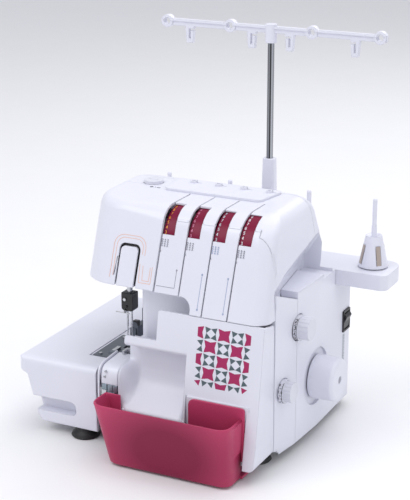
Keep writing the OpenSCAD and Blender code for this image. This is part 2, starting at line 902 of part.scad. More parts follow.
// Wall set back behind the bin, open round the hinge lugs
module trim_pocket() {
    difference() {
        union() {
            box([cover_left, -93.5, 14], [97, -91, 49]);
            box([30.2, -94.5, 45], [97, -91, 76]);
        }
        for (x = hinge_lug_x) box([x - 8, -100, 10], [x + 10, -80, hinge_z + 8]);
    }
    along_x(94.4, 97) polygon([[cover_y(14), 14], [-58, 14], [-58, 76], [cover_y(76), 76]]);
}

module cover_knuckle(x) {
    bar_x(x, x + 12, hinge_y, hinge_z, 4.5);
    box([x, -91.5, hinge_z - 3], [x + 12, hinge_y, hinge_z + 4.5]);
}

module cover_hinge_rod() placed(steel) {
    bar_x(-34, 97, hinge_y, hinge_z, 2);
}

bin_wall = 2.2;
bin_rim_z = 65;
bin_back_z = 75.4;

// Plan of the bin at its floor, grown outwards by g at the front
function bin_plan(g) = [
    [-45 - g * 2, -124.4 - g * 0.92, 12 + g * 0.6], [90.2, -124.4 - g * 0.92, 9 + g * 0.6],
    [90.8, -97, 2], [-45 - g * 2, -97, 2]
];

module trim_bin() placed(crimson) {
    difference() {
        union() {
            hull() {
                along_z(2, 3) outline(bin_plan(0), 2);
                along_z(4, 5) outline(bin_plan(0.3));
                along_z(66, 67) outline(bin_plan(7));
            }
            along_y(-97.2, -95)
                outline([[33.2, 20, 1], [93.6, 20, 1], [93.6, bin_back_z, 4], [33.2, bin_back_z, 8]]);
            slab(-40, 92, -99, -68, 2, 4.6, 4);
        }
        hull() {
            along_z(5, 6) outline(bin_plan(0.3), bin_wall + 1);
            along_z(68, 69) outline(bin_plan(7), bin_wall);
        }
        box([-70, -140, bin_rim_z], [120, -97.3, 90]);
        box([-41, -100, 44.5], [33.2, -94.9, 80]);
    }
}

// ---------------------------------------------------------------- extension table
table_side = [[-83, floor_gap, 2], [130, floor_gap, 2], [130, bed_top, 7], [-83, bed_top, 7]];
table_front = [
    [-146, floor_gap, 12], [-78.2, floor_gap, 0.5], [-78.2, bed_top, 1], [-172, bed_top, 7],
    [-172, 65, 4], [-160, 61, 4]
];

module table_form(d) {
    intersection() {
        along_x(-180, -70) outline(table_side, d);
        along_y(-90, 140) outline(table_front, d);
        along_z(0, 100) outline([[-172, -83, 9], [-78.2, -83, 1], [-78.2, 130, 1], [-172, 130, 16]], d);
    }
}

module extension_table() placed(white) {
    difference() {
        table_form(0);
        intersection() {
            table_form(wall);
            box([-180, -90, 16], [-60, 140, 100]);
        }
        box([-150, -79, 5], [-60, 126, 20]);
        box([-82, -79, 5], [-60, 126, 77]);
        box([-104.2, -51.7, 40], [-60, 61.7, 90]);
        box([-78.6, 61, 5], [-60, 140, 90]);
        finger_notch(12);
    }
    difference() {
        box([-148.5, -82.9, 20.5], [-100, -68.5, 40.5]);
        finger_notch(12);
    }
}

module finger_notch(depth) {
    along_y(-90, -83 + depth) outline([[-175, 23, 0], [-102.5, 23, 5], [-102.5, 38, 7], [-175, 38, 0]]);
}

// ---------------------------------------------------------------- right-hand controls
module ribbed_dial(x, y, z, r, depth) {
    difference() {
        union() {
            bar_x(x, x + 4, y, z, r);
            bar_x(x + 4 - eps, x + depth, y, z, r - 1.6);
        }
        for (i = [0 : 15]) translate([0, y, z]) rotate([i * 22.5, 0, 0])
            bar_x(x + 5, x + depth + 1, 0, r - 0.4, 1.7, $fn = 16);
    }
}

module stitch_length_dial() placed(white) {
    ribbed_dial(111.6, length_dial_y, length_dial_z, length_dial_radius, 15);
    bar_x(96, 111.7, length_dial_y, length_dial_z, 4);
}

module differential_dial() placed(white) {
    ribbed_dial(108.9, feed_dial_y, feed_dial_z, feed_dial_radius, 12);
    bar_x(96, 109, feed_dial_y, feed_dial_z, 4);
}

module switch_bezel() placed(black) {
    difference() {
        box([105.4, 103.4, 88.5], [115.2, 121.6, 111.5]);
        box([100, 105.1, 90.5], [120, 119.9, 109.5]);
        bar_y(103.8, 121.2, switch_x, switch_z, 1.55);
    }
}

module power_switch() placed(black) {
    along_y(105.4, 119.6) outline([
        [107, 91.2, 1], [114.6, 91.2, 1], [115.2, 99, 4], [117.6, 104.6, 1], [115.6, 108, 1], [107, 108, 1]
    ]);
    bar_y(104.1, 120.9, switch_x, switch_z, 1.5);
}

module power_inlet() placed(black) {
    difference() {
        along_y(117, 131) outline([[78, 22, 2], [104, 22, 2], [104, 46, 2], [78, 46, 2]]);
        along_y(121, 140) outline([[81.5, 26, 1], [100.5, 26, 1], [100.5, 42, 4], [81.5, 42, 4]]);
    }
    for (x = [85.5, 91, 96.5]) bar_y(120.9, 129, x, 34, 1.6);
}

module work_lamp() placed("ivory") {
    translate([-50, 0, 176]) sphere(r = 7, $fn = 36);
    bar_z(182, 194, -50, 0, 6);
}

// ---------------------------------------------------------------- thread stand
stand_plan = [[-116, 79, 16], [168.5, 79, 8], [168.5, 131, 16], [-116, 131, 18]];

module spool_stand() placed(white) {
    difference() {
        union() {
            along_z(stand_bottom, stand_top)
                outline(stand_plan);
            for (s = [-1, 1]) for (d = [inner_pin_x, outer_pin_x])
                bar_z(stand_top - eps, stand_top + 1, mast_x + s * d, mast_y, 5);
        }
        difference() {
            along_z(stand_bottom - 1, stand_top - wall)
                outline(stand_plan, wall);
            for (s = [-1, 1]) for (d = [inner_pin_x, outer_pin_x])
                bar_z(140, 170, mast_x + s * d, mast_y, 5);
            slab(mast_x - 14, mast_x + 14, mast_y - 12, mast_y + 12, 140, 170, 4);
        }
        for (s = [-1, 1]) for (d = [inner_pin_x, outer_pin_x])
            bar_z(stand_bottom + 2, 170, mast_x + s * d, mast_y, 2.8);
        slab(mast_x - 8.3, mast_x + 8.3, mast_y - 6.3, mast_y + 6.3, 140, 180, 3);
    }
}

module spool_pins() placed(shade_white) {
    for (s = [-1, 1]) for (d = [inner_pin_x, outer_pin_x]) translate([mast_x + s * d, mast_y, 0]) {
        bar_z(stand_bottom + 2, 210, 0, 0, 2.8);
        bar_z(210 - eps, 236.5, 0, 0, 2.35);
        translate([0, 0, 236.5]) sphere(r = 2.35, $fn = 32);
    }
}

module cone_holder() placed(white) {
    translate([mast_x + outer_pin_x, mast_y, stand_top + 1.2]) difference() {
        rotate_extrude() polygon([[3, 30], [8.5, 32.6], [15.5, 0], [13.2, 0], [7, 29], [3, 29]]);
        for (i = [0 : 3]) rotate([0, 0, 45 + 90 * i]) translate([10, -2.8, 3.5]) cube([8, 5.6, 20]);
    }
}

module mast_post() placed(white) {
    difference() {
        union() {
            slab(mast_x - 8, mast_x + 8, mast_y - 6, mast_y + 6, stand_bottom, 200, 3);
            hull() {
                slab(mast_x - 8, mast_x + 8, mast_y - 6, mast_y + 6, 199.9, 200, 3);
                slab(mast_x - 6.4, mast_x + 6.4, mast_y - 5.5, mast_y + 5.5, 266, 268, 3);
            }
        }
        bar_z(160, 270, mast_x, mast_y, 3.56);
    }
}

module mast_tube() placed(steel) {
    difference() {
        bar_z(228, guide_bar_z - 4, mast_x, mast_y, 3.5);
        bar_z(220, guide_bar_z - 8, mast_x, mast_y, 2.6);
    }
}

// One thread hook hanging under the guide bar, open towards side s
module thread_hook(x, s) {
    translate([x, mast_y, guide_bar_z]) difference() {
        along_y(-2.5, 2.5) polygon([[-5, -3], [-3.5, -21], [3.5, -21], [5, -3]]);
        box([-1, -4, -17], [1, 4, -6]);
        box([s > 0 ? -1 : -8, -4, -8.5], [s > 0 ? 8 : 1, 4, -6.5]);
    }
}

module guide_bar() placed(white) {
    half = guide_bar_length / 2;
    lugs = [-outer_pin_x, -inner_pin_x, inner_pin_x, outer_pin_x];
    difference() {
        union() {
            box([mast_x - half, mast_y - 2.5, guide_bar_z - 4], [mast_x + half, mast_y + 2.5, guide_bar_z + 3]);
            box(
                [mast_x - half + 2, mast_y - 4, guide_bar_z + 0.5],
                [mast_x + half - 2, mast_y + 4, guide_bar_z + 2.4]
            );
            for (x = lugs) bar_y(mast_y - 3.5, mast_y + 3.5, mast_x + x, guide_bar_z, 6.6);
            bar_z(guide_bar_z - 14, guide_bar_z + 5, mast_x, mast_y, 6);
            thread_hook(mast_x - 92, 1);
            thread_hook(mast_x - 21.2, 1);
            thread_hook(mast_x + 21.2, -1);
            thread_hook(mast_x + 92, -1);
        }
        for (x = lugs) bar_y(mast_y - 6, mast_y + 6, mast_x + x, guide_bar_z, 3.6);
        bar_z(guide_bar_z - 20, guide_bar_z - 3.9, mast_x, mast_y, 3.54);
    }
}

// ---------------------------------------------------------------- fasteners
module case_screw() {
    difference() {
        union() {
            cylinder(h = 2, r = 3);
            translate([0, 0, -8]) cylinder(h = 8 + eps, r = 1.5);
        }
        translate([-2.2, -0.4, 1.2]) cube([4.4, 0.8, 1]);
    }
}

module case_screws() placed(steel) {
    for (p = [[-95, 6], [-95, -44]]) translate([p.x, p.y, bed_top + 0.2]) scale(0.6) case_screw();
}

base_plate();
rubber_feet();
machine_frame();
shaft_bushes();
bed_arm();
needle_plate();
column_cover();
right_cover();
rear_cover();
top_cover();
face_cover();
front_panel();
thread_guide_plate();
tension_rod();
tension_discs();
case_screws();
tension_dial_1();
tension_dial_2();
tension_dial_3();
tension_dial_4();
main_shaft();
handwheel();
driven_pulley();
drive_belt();
motor();
motor_shaft();
motor_pulley();
needle_bar();
needle_clamp();
needles();
presser_bar();
presser_foot();
presser_lever();
pressure_knob();
take_up_lever();
upper_looper();
lower_looper();
feed_dogs();
upper_knife();
lower_knife();
knife_guard();
front_cover();
cover_hinge_rod();
trim_bin();
extension_table();
stitch_length_dial();
differential_dial();
switch_bezel();
power_switch();
power_inlet();
work_lamp();
spool_stand();
spool_pins();
cone_holder();
mast_post();
mast_tube();
guide_bar();
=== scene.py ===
import json
import math

import bpy
import bmesh
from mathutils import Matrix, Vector
from mathutils.bvhtree import BVHTree


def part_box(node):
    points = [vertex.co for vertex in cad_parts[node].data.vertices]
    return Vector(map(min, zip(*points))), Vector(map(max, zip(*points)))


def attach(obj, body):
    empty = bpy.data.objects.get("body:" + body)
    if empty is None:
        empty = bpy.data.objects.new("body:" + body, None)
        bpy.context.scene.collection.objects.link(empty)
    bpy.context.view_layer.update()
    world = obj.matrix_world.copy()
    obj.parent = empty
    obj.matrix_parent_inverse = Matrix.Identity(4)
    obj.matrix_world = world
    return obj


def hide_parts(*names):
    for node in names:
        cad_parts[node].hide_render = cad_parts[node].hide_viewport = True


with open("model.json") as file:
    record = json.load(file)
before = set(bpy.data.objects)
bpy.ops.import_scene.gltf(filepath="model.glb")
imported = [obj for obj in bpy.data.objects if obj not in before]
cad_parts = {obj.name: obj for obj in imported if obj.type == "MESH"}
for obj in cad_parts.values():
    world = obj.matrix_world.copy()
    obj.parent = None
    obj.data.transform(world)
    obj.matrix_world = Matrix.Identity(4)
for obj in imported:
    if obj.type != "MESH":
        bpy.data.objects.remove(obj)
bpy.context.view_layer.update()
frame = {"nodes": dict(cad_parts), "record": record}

MM = 0.001
# The guide bar's middle ties the drawing's x, in millimetres, to the row frame's
GUIDE_MIDDLE_X = 26
SHIFT_X = sum(corner.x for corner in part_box("guide_bar")) / 2 - GUIDE_MIDDLE_X * MM


def at(x, y, z):
    """A point given in the drawing's millimetres, in the row frame."""
    return Vector((x * MM + SHIFT_X, y * MM, z * MM))


# ------------------------------------------------------------------ materials

# Noise scales that the moulded plastics share
MOTTLE_SCALE = 14
GLOSS_SCALE = 60
# Drawn metal: noise scale along and across the grain, and depth of the scratches
DRAWN_GRAIN = (40, 900, 900)
SCRATCH_DEPTH = 0.000006
# Direction across the mast from which the painted reflection bands of the tube are counted
PAINTED_REFLECTION_AXIS = (0.895, 0.446, 0)


def new_material(name):
    """Node material with one Principled shader: the material, its tree and the shader."""
    mat = bpy.data.materials.new(name)
    mat.use_nodes = True
    mat.node_tree.nodes.clear()
    out = mat.node_tree.nodes.new("ShaderNodeOutputMaterial")
    shader = mat.node_tree.nodes.new("ShaderNodeBsdfPrincipled")
    mat.node_tree.links.new(shader.outputs[0], out.inputs[0])
    return mat, mat.node_tree, shader


def add_node(tree, kind, settings=(), **inputs):
    """Shader node with its own settings, and with values for inputs named with _ for a space."""
    node = tree.nodes.new(kind)
    for key, value in dict(settings).items():
        setattr(node, key, value)
    for key, value in inputs.items():
        node.inputs[key.replace("_", " ")].default_value = value
    return node


def object_coords(tree):
    """Coordinates fixed to the piece."""
    return tree.nodes.new("ShaderNodeTexCoord").outputs["Object"]


def noise(tree, scale, detail=3.0):
    """Cloudy value from 0 to 1 over the piece."""
    node = add_node(tree, "ShaderNodeTexNoise", Scale=scale, Detail=detail, Roughness=0.5)
    tree.links.new(object_coords(tree), node.inputs["Vector"])
    return node.outputs["Fac"]


def ramp(tree, source, stops):
    """Colour ramp; stops are (position, colour) pairs from low to high."""
    node = tree.nodes.new("ShaderNodeValToRGB")
    elements = node.color_ramp.elements
    for k, (position, colour) in ((0, stops[0]), (1, stops[-1])):
        elements[k].position = position
        elements[k].color = (*colour, 1)
    for position, colour in stops[1:-1]:
        elements.new(position).color = (*colour, 1)
    tree.links.new(source, node.inputs["Fac"])
    return node.outputs["Color"]


def spread(tree, source, low, high):
    """Spreads a value that runs from 0 to 1 over low to high."""
    node = add_node(tree, "ShaderNodeMapRange", To_Min=low, To_Max=high)
    tree.links.new(source, node.inputs["Value"])
    return node.outputs["Result"]


def bump(tree, source, shader, strength, distance, rounding=0.0):
    """Surface relief; with a rounding, shading also runs round the sharp edges."""
    node = add_node(tree, "ShaderNodeBump", Strength=strength, Distance=distance)
    if rounding:
        edge = add_node(tree, "ShaderNodeBevel", {"samples": 6}, Radius=rounding)
        tree.links.new(edge.outputs["Normal"], node.inputs["Normal"])
    tree.links.new(source, node.inputs["Height"])
    tree.links.new(node.outputs["Normal"], shader.inputs["Normal"])


def moulded(name, colour, rough=0.32, variation=0.03, grain=2600, depth=0.00001,
            specular=0.5, rounding=0.0):
    """Moulded plastic: faint mottling, a fine spark-eroded grain and uneven gloss."""
    mat, tree, shader = new_material(name)
    dark = [c * (1 - variation) for c in colour]
    tone = ramp(tree, noise(tree, MOTTLE_SCALE), [(0.3, dark), (0.7, colour)])
    tree.links.new(tone, shader.inputs["Base Color"])
    gloss = spread(tree, noise(tree, GLOSS_SCALE), rough - 0.05, rough + 0.06)
    tree.links.new(gloss, shader.inputs["Roughness"])
    bump(tree, noise(tree, grain, 2.0), shader, 0.12, depth, rounding)
    shader.inputs["Specular IOR Level"].default_value = specular
    return mat


def metal(name, colour, rough):
    """Ground or drawn metal: grain drawn out along one axis."""
    mat, tree, shader = new_material(name)
    mapping = add_node(tree, "ShaderNodeMapping")
    mapping.inputs["Scale"].default_value = DRAWN_GRAIN
    tree.links.new(object_coords(tree), mapping.inputs["Vector"])
    texture = add_node(tree, "ShaderNodeTexNoise", Scale=1.0, Detail=4.0)
    tree.links.new(mapping.outputs[0], texture.inputs["Vector"])
    scratches = texture.outputs["Fac"]
    dark = [c * 0.8 for c in colour]
    tone = ramp(tree, scratches, [(0.35, dark), (0.65, colour)])
    tree.links.new(tone, shader.inputs["Base Color"])
    gloss = spread(tree, scratches, rough - 0.06, rough + 0.1)
    tree.links.new(gloss, shader.inputs["Roughness"])
    bump(tree, scratches, shader, 0.3, SCRATCH_DEPTH)
    shader.inputs["Metallic"].default_value = 1.0
    return mat


def bright_tube(name):
    """Polished tube with painted reflections: light and dark bands are painted into its colour along it by
    the turn of its surface, in place of the surroundings it mirrors.
    """
    mat, tree, shader = new_material(name)
    across = add_node(tree, "ShaderNodeVectorMath", {"operation": "DOT_PRODUCT"})
    tree.links.new(tree.nodes.new("ShaderNodeNewGeometry").outputs["Normal"], across.inputs[0])
    across.inputs[1].default_value = PAINTED_REFLECTION_AXIS
    place = add_node(tree, "ShaderNodeMapRange", From_Min=-1.0, From_Max=1.0)
    tree.links.new(across.outputs["Value"], place.inputs["Value"])
    # Painted reflection: light and dark tones set by the surface's turn across the mast
    painted_reflection_tones = [(0.0, 0.40), (0.1, 0.16), (0.27, 0.30), (0.38, 0.05), (0.52, 0.03), (0.60, 0.50),
             (0.78, 0.42), (0.88, 0.25), (1.0, 0.5)]
    stops = [(position, (tone, tone * 1.03, tone * 1.1)) for position, tone in painted_reflection_tones]
    tree.links.new(ramp(tree, place.outputs["Result"], stops), shader.inputs["Base Color"])
    tree.links.new(spread(tree, noise(tree, 300), 0.12, 0.2), shader.inputs["Roughness"])
    shader.inputs["Metallic"].default_value = 0.9
    return mat


WHITE = moulded("white_plastic", (0.74, 0.745, 0.83), rough=0.30, rounding=0.0012)
SHADE = moulded("shade_plastic", (0.68, 0.685, 0.76), rough=0.30)
TAUPE = moulded("taupe_plastic", (0.42, 0.35, 0.31), rough=0.4)
CRIMSON = moulded("crimson_plastic", (0.21, 0.007, 0.04), rough=0.3, variation=0.2, specular=0.2)
BLACK = moulded("black_plastic", (0.012, 0.012, 0.014), rough=0.35)
RUBBER = moulded("foot_rubber", (0.01, 0.01, 0.011), rough=0.5, grain=1500, depth=0.00003)
STEEL = metal("polished_steel", (0.62, 0.63, 0.66), 0.25)
DARK_STEEL = metal("dark_steel", (0.16, 0.18, 0.21), 0.35)
# Chrome with painted reflection bands in its colour
CHROME = bright_tube("chrome_tube")
CAST = moulded("cast_alloy", (0.36, 0.37, 0.39), rough=0.55, grain=700, depth=0.00005)
BRONZE = metal("bronze", (0.45, 0.28, 0.10), 0.35)
LAMP = moulded("lamp_glass", (0.9, 0.87, 0.75), rough=0.2)
BLACK_METAL = moulded("metal_black", (0.014, 0.014, 0.016), rough=0.28)
POST = metal("knife_post", (0.30, 0.36, 0.41), 0.42)

# Material of each of the record's slots
BY_SLOT = {
    "white_plastic": WHITE, "shade_plastic": SHADE, "crimson_plastic": CRIMSON,
    "bin_plastic": CRIMSON, "black_plastic": BLACK, "foot_rubber": RUBBER,
    "polished_steel": STEEL, "dark_steel": DARK_STEEL, "chrome_tube": CHROME,
    "cast_alloy": CAST, "bronze": BRONZE, "belt_rubber": RUBBER,
    "lamp_glass": LAMP, "metal_black": BLACK_METAL,
}


# ------------------------------------------------------------------ CAD nodes

SHARP_ANGLE = math.radians(28)
FLAT_ANGLE = math.radians(0.6)
WELD_DISTANCE = 0.02 * MM
# Width of the rounding on a CAD node's sharp edges, in mm, by slot
EDGE = {
    "white_plastic": 0.7, "shade_plastic": 0.5, "crimson_plastic": 0.3, "bin_plastic": 0.6,
    "black_plastic": 0.3, "polished_steel": 0.15, "dark_steel": 0.2, "metal_black": 0.4,
    "cast_alloy": 0.5,
}


def weld(obj):
    """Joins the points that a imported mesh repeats."""
    modifier = obj.modifiers.new("Weld", "WELD")
    modifier.merge_threshold = WELD_DISTANCE


def soften(obj, width):
    """Rounds the sharp edges by modifiers alone, so a CAD node's own mesh stays as packed."""
    weld(obj)
    flat = obj.modifiers.new("Flatten", "DECIMATE")
    flat.decimate_type = "DISSOLVE"
    flat.angle_limit = FLAT_ANGLE
    bevel = obj.modifiers.new("Bevel", "BEVEL")
    bevel.width = width
    bevel.segments = 3
    bevel.limit_method = "ANGLE"
    bevel.angle_limit = SHARP_ANGLE
    bevel.miter_outer = "MITER_ARC"
    weighted = obj.modifiers.new("Weighted", "WEIGHTED_NORMAL")
    weighted.keep_sharp = True
    weighted.weight = 80


def keep_crisp(obj):
    """For thin rims that bear no bevel: sharp edges are split and the material rounds them."""
    weld(obj)
    split = obj.modifiers.new("Split", "EDGE_SPLIT")
    split.split_angle = SHARP_ANGLE


for part in frame["record"]["subparts"]:
    obj = frame["nodes"][part["node"]]
    slot = part["material_slot"]
    obj.data.materials.clear()
    obj.data.materials.append(BY_SLOT[slot])
    for polygon in obj.data.polygons:
        polygon.use_smooth = True
    if part["node"] == "front_cover":
        keep_crisp(obj)
    elif slot in EDGE:
        soften(obj, EDGE[slot] * MM)


# ------------------------------------------------------------------ printed marks

# How far back the tension panel and the front cover lean per unit of height
PANEL_SLOPE = 0.3605
COVER_SLOPE = 0.17
# Depth and height of the line where those two planes meet
PLANE_FOOT = (-80, 154.2)
# Depth and height of the tension dials' axis
DIAL_AXIS = (-19.2, 210.6)
DIAL_RADIUS = 36.4
DIAL_PITCH = 27.3
DIAL_X = [-16.4 + i * DIAL_PITCH for i in range(4)]


def leaning(slope):
    """Maps (x, z, lift) onto a casing plane that leans back by slope."""
    length = math.hypot(1, slope)

    def place(x, z, lift):
        y = PLANE_FOOT[0] + (z - PLANE_FOOT[1]) * slope
        return at(x, y - lift / length, z + lift * slope / length)
    return place


def drum(x0, y0, z0, radius, angle):
    """Maps (u, v, lift) onto a drum round the x axis; angle is measured up from the front."""
    def place(u, v, lift):
        a = math.radians(angle) + v / radius
        return at(x0 + u, y0 - (radius + lift) * math.cos(a), z0 + (radius + lift) * math.sin(a))
    return place


def level(z0):
    """Maps (x, y, lift) onto a level plane."""
    return lambda x, y, lift: at(x, y, z0 + lift)


def side_place(x):
    """Maps (y, z, lift) onto an upright plane on the right."""
    return lambda y, z, lift: at(x + lift, y, z)


def front_place(x, y, z):
    """Maps (u, v, lift), measured from (x, z), onto an upright plane that faces the front."""
    return lambda u, v, lift: at(x + u, y - lift, z + v)


on_panel = leaning(PANEL_SLOPE)
on_cover = leaning(COVER_SLOPE)


def bodied(obj, body):
    """Ties a piece to the body it rides on."""
    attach(obj, body)
    return obj


def ink(name, marks, material, body, thickness=0.12):
    """Thin raised print; marks are (outline, place) pairs, each outline a list of flat points."""
    bm = bmesh.new()
    for points, place in marks:
        low = [bm.verts.new(place(u, v, -0.04)) for u, v in points]
        high = [bm.verts.new(place(u, v, thickness)) for u, v in points]
        bm.faces.new(high)
        bm.faces.new(list(reversed(low)))
        count = len(points)
        for k in range(count):
            n = (k + 1) % count
            bm.faces.new([low[k], low[n], high[n], high[k]])
    bmesh.ops.recalc_face_normals(bm, faces=bm.faces)
    mesh = bpy.data.meshes.new(name)
    bm.to_mesh(mesh)
    bm.free()
    mesh.materials.append(material)
    obj = bpy.data.objects.new(name, mesh)
    bpy.context.scene.collection.objects.link(obj)
    return bodied(obj, body)


def ribbon(points, width):
    """Outline of a line of the given width through flat points."""
    left, right = [], []
    for k, p in enumerate(points):
        before = Vector(points[max(k - 1, 0)])
        after = Vector(points[min(k + 1, len(points) - 1)])
        here = Vector(p)
        first = (here - before).normalized() if k else (after - here).normalized()
        second = (after - here).normalized() if k < len(points) - 1 else first
        mean = (first + second).normalized()
        half = width / 2 / max(0.4, mean.dot(first))
        side = Vector((-mean.y, mean.x)) * half
        left.append(tuple(here + side))
        right.append(tuple(here - side))
    return left + right[::-1]


def dot(u, v, radius, steps=12):
    """Outline of a round dot."""
    turn = 2 * math.pi / steps
    return [(u + radius * math.cos(k * turn), v + radius * math.sin(k * turn)) for k in range(steps)]


# Strokes of the digits on a grid 2 wide and 4 high; the flag of the 1 stands above it
DIGITS = {
    "0": [[(0, 1), (0, 3), (0.6, 4), (1.4, 4), (2, 3), (2, 1), (1.4, 0), (0.6, 0), (0, 1)]],
    "1": [[(0.4, 3.2), (1.2, 5), (1.2, 0)]],
    "2": [[(0, 3.2), (0.6, 4), (1.5, 4), (2, 3.2), (1.7, 2.2), (0, 0), (2, 0)]],
    "3": [[(0, 3.6), (0.8, 4), (1.8, 3.7), (1.8, 2.5), (0.9, 2.1), (2, 1.6), (1.9, 0.4), (0.9, 0),
           (0, 0.4)]],
    "4": [[(1.5, 0), (1.5, 4), (0, 1.2), (2.1, 1.2)]],
    "5": [[(1.9, 4), (0.3, 4), (0.1, 2.3), (1.3, 2.5), (2, 1.6), (1.6, 0.2), (0.7, 0), (0, 0.4)]],
    "6": [[(1.8, 3.8), (0.9, 4), (0.1, 2.6), (0, 1), (0.6, 0), (1.5, 0), (2, 1), (1.5, 2.1),
           (0.5, 2.1), (0.1, 1.4)]],
    "7": [[(0, 4), (2, 4), (0.8, 0)]],
    "8": [[(1, 2.1), (0.1, 3), (0.5, 4), (1.5, 4), (1.9, 3), (1, 2.1), (0, 1.1), (0.5, 0), (1.5, 0),
           (2, 1.1), (1, 2.1)]],
    "9": [[(0.2, 0.2), (1.2, 0.1), (2, 1.6), (2, 3), (1.4, 4), (0.5, 4), (0, 3), (0.5, 2), (1.5, 2),
           (1.9, 2.6)]],
    ".": [[(0.8, 0), (0.8, 0.5)]],
}


def lettering(text, u, v, height, weight, place):
    """Marks for a short row of digits centred on (u, v)."""
    unit = height / 4
    advance = 3.0 * unit
    start = u - (len(text) * advance - unit) / 2
    marks = []
    for k, character in enumerate(text):
        for stroke in DIGITS[character]:
            points = [(start + k * advance + a * unit, v - height / 2 + b * unit) for a, b in stroke]
            for first, second in zip(points, points[1:]):
                marks.append((ribbon([first, second], weight), place))
    return marks


def print_material(name, colour):
    """Matt printing ink."""
    return moulded(name, colour, rough=0.4, variation=0.08, grain=4000, depth=0.000004)


INK_CRIMSON = print_material("ink_crimson", (0.38, 0.008, 0.10))
INK_GREEN = print_material("ink_grey_green", (0.075, 0.11, 0.125))
INK_ORANGE = print_material("ink_orange", (0.80, 0.52, 0.42))
INK_BLUE = print_material("ink_blue", (0.36, 0.42, 0.58))
INK_GREY = print_material("ink_grey", (0.30, 0.30, 0.36))
INK_DARK = print_material("ink_dark", (0.03, 0.03, 0.035))
INK_YELLOW = print_material("ink_yellow", (0.85, 0.33, 0.03))
INK_PINK = print_material("ink_pink", (0.70, 0.22, 0.36))
INK_PALE = print_material("ink_pale", (0.62, 0.66, 0.72))
INK_WHITE = print_material("ink_white", (0.85, 0.80, 0.85))


def quilt_tile(u, v, width, height, inset, half):
    """One concave quilt square and the star between its points; half keeps the left or right side."""
    w, h = width / 2, height / 2
    corners = [(u - w, v - h), (u + w, v - h), (u + w, v + h), (u - w, v + h)]
    middles = [(u, v - h + inset), (u + w - inset, v), (u, v + h - inset), (u - w + inset, v)]
    square = [corners[0], middles[0], corners[1], middles[1], corners[2], middles[2], corners[3], middles[3]]
    star = [[corners[k], middles[k], middles[k - 1]] for k in range(4)]
    if half == 0:
        return square, star
    kept = [p for p in square if (p[0] - u) * half >= -0.001]
    return kept, [s for s in star if (s[0][0] - u) * half > 0]


def upper_half(square, star, v):
    """What stays of a quilt square on the cut-off bottom row."""
    return [p for p in square if p[1] >= v - 0.001], [s for s in star if s[0][1] > v]


def make_quilt():
    """Quilt pattern on the front cover: five rows of squares and stars in turn, cut at its edges."""
    pitch_x, pitch_z = 14.1, 13.05
    gap_x, gap_z = 1.2, 1.0
    inset = 1.5
    left, top = 36.8, 146.8
    count = 5
    crimson, green = [], []
    for row in range(count):
        for column in range(count):
            u = left + column * pitch_x
            v = top - (row + 0.5) * pitch_z
            half = {0: 1, count - 1: -1}.get(column, 0)
            square, star = quilt_tile(u, v, pitch_x - gap_x, pitch_z - gap_z, inset, half)
            if row == count - 1:
                square, star = upper_half(square, star, v)
            if (row + column) % 2 == 0:
                crimson.append((square, on_cover))
            else:
                green.extend((shape, on_cover) for shape in star)
    ink("quilt_squares", crimson, INK_CRIMSON, "cover")
    ink("quilt_stars", green, INK_GREEN, "cover")


def arch(left, right, foot_left, foot_right, top, radius):
    """Inverted U line with rounded shoulders."""
    steps = 7
    turns = [math.pi / 2 * k / steps for k in range(steps + 1)]
    points = [(left, foot_left)]
    for a in turns:
        points.append((left + radius - radius * math.cos(a), top - radius + radius * math.sin(a)))
    for a in turns:
        points.append((right - radius + radius * math.sin(a), top - radius + radius * math.cos(a)))
    points.append((right, foot_right))
    return points


def line_marks(points, width, place):
    """Marks for a polyline, one for each of its segments."""
    return [(ribbon([a, b], width), place) for a, b in zip(points, points[1:])]


def make_thread_lines():
    """Threading lines: arches and hooks round the take-up slot, and a line on three of the strips."""
    thin, thick = 0.55, 0.6
    arches = line_marks(arch(-66.4, -31.0, 177, 201, 218, 10), thin, on_panel)
    arches += line_marks(arch(-63.2, -33.8, 179, 202, 215.5, 8), thin, on_panel)
    for left, right, foot, top in ((-34.8, -20.8, 176, 193), (-31.2, -22.9, 178.2, 192)):
        hook = [(left, top), (left + 1, foot), (right, foot), (right, top - 1)]
        arches += line_marks(hook, thin, on_panel)
    ink("threading_arches", arches, INK_ORANGE, "machine")
    first = line_marks([(5.8, 192), (5.9, 176), (-14, 176)], 0.5, on_panel)
    first.append((dot(5.8, 192.5, 0.9), on_panel))
    ink("threading_line_1", first, INK_GREY, "machine")
    for number, x in ((2, 33.5), (3, 61.2)):
        marks = line_marks([(x, 192), (x, 160.5)], thick, on_panel)
        marks += [(dot(x, 192.3, 1.0), on_panel), (dot(x, 160.2, 1.0), on_panel)]
        ink(f"threading_line_{number}", marks, INK_BLUE, "machine")


def make_stitch_signs():
    """Small stitch pictures under the four windows: three columns of loops."""
    top, row_pitch, column_pitch = 218.9, 1.9, 2.9
    for number, material in enumerate((INK_GREY, INK_GREY, INK_BLUE, INK_GREY)):
        marks = []
        for column in range(3):
            u = DIAL_X[number] + 2.2 + column * column_pitch
            for row in range(4):
                v = top - row * row_pitch
                loop = [(u - 0.8, v - 0.7), (u - 0.2, v + 0.6), (u + 0.5, v + 0.3), (u + 0.9, v - 0.8)]
                marks += line_marks(loop, 0.42, on_panel)
            marks += line_marks([(u, 212.0), (u, 219.4)], 0.3, on_panel)
        ink(f"stitch_signs_{number + 1}", marks, material, "machine")


def make_tension_numbers():
    """Digits 0 to 9 round each tension dial; the 4 shows in the middle of its window."""
    middle, step = 32, 8.5
    radius = DIAL_RADIUS - 1.2
    for number, material in enumerate((INK_YELLOW, INK_PINK, INK_PALE, INK_WHITE)):
        marks = []
        for value in range(10):
            angle = middle + (value - 4) * step
            place = drum(DIAL_X[number] + 0.3, DIAL_AXIS[0], DIAL_AXIS[1], radius, angle)
            marks += lettering(str(value), 2.5, 0, 2.9, 0.55, place)
        ink(f"tension_numbers_{number + 1}", marks, material, f"tension_{number + 1}")


